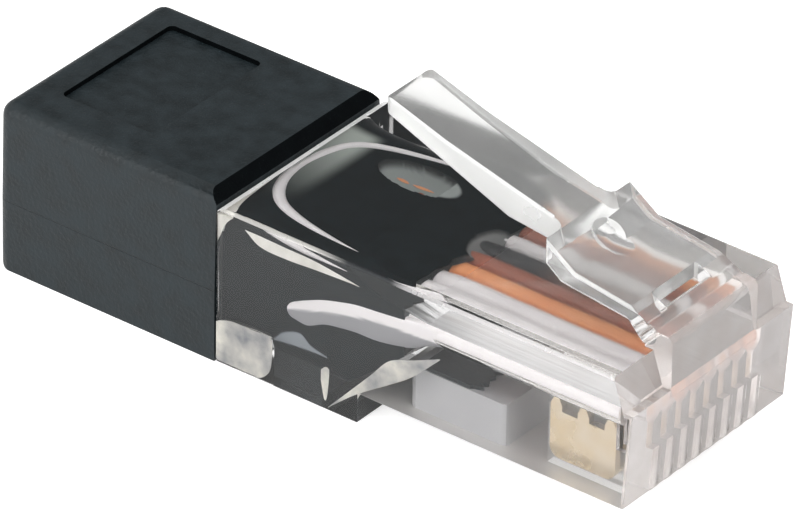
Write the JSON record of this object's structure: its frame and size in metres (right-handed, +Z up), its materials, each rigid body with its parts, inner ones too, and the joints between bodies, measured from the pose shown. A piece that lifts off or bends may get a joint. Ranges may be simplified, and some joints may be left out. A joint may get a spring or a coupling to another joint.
{
  "type": "lan termination plug",
  "caption": "Clear modular network plug with a spring latch, crimped on coloured wires and over-moulded with a small black block that holds the line termination.",
  "frame": {"origin": "under the middle of the whole part, on the plane that the block and the plug's rear section rest on", "axes": "+X the way the plug goes into a jack, +Y across it with pin 1 at -Y, +Z up towards the latch"},
  "size_m": [0.035, 0.0116, 0.0138],
  "materials": {
    "clear_plastic": "clear moulded polycarbonate",
    "black_plastic": "fine matt moulding texture",
    "gold_contact": "gold flashed",
    "copper": "bare copper strand",
    "white_wire": "wire insulation",
    "orange_wire": "wire insulation",
    "red_brown_wire": "wire insulation",
    "brown_wire": "wire insulation",
    "board": "glass-epoxy laminate",
    "chip": "ceramic chip with tinned ends"
  },
  "bodies": {
    "plug": {"plug_housing": "clear_plastic", "terminator_body": "black_plastic", "termination_board": "board", "contact_1": "gold_contact", "wire_insulation_1": "white_wire", "wire_conductor_1": "copper", "contact_2": "gold_contact", "wire_insulation_2": "white_wire", "wire_conductor_2": "copper", "contact_3": "gold_contact", "wire_insulation_3": "orange_wire", "wire_conductor_3": "copper", "contact_4": "gold_contact", "wire_insulation_4": "red_brown_wire", "wire_conductor_4": "copper", "contact_5": "gold_contact", "wire_insulation_5": "brown_wire", "wire_conductor_5": "copper", "contact_6": "gold_contact", "wire_insulation_6": "white_wire", "wire_conductor_6": "copper", "contact_7": "gold_contact", "wire_insulation_7": "red_brown_wire", "wire_conductor_7": "copper", "contact_8": "gold_contact", "wire_insulation_8": "orange_wire", "wire_conductor_8": "copper", "chip_resistor_1": "chip", "chip_resistor_2": "chip", "chip_resistor_3": "chip", "chip_resistor_4": "chip"},
    "latch": {"latch_lever": "clear_plastic"}
  },
  "joints": [
    {"name": "latch_press", "type": "hinge", "parent": "plug", "child": "latch", "pos_m": [0.01613, 0, 0.00865], "axis": [0, -1, 0], "range_deg": [0, 14], "stiffness_Nm_per_rad": 0.1}
  ]
}
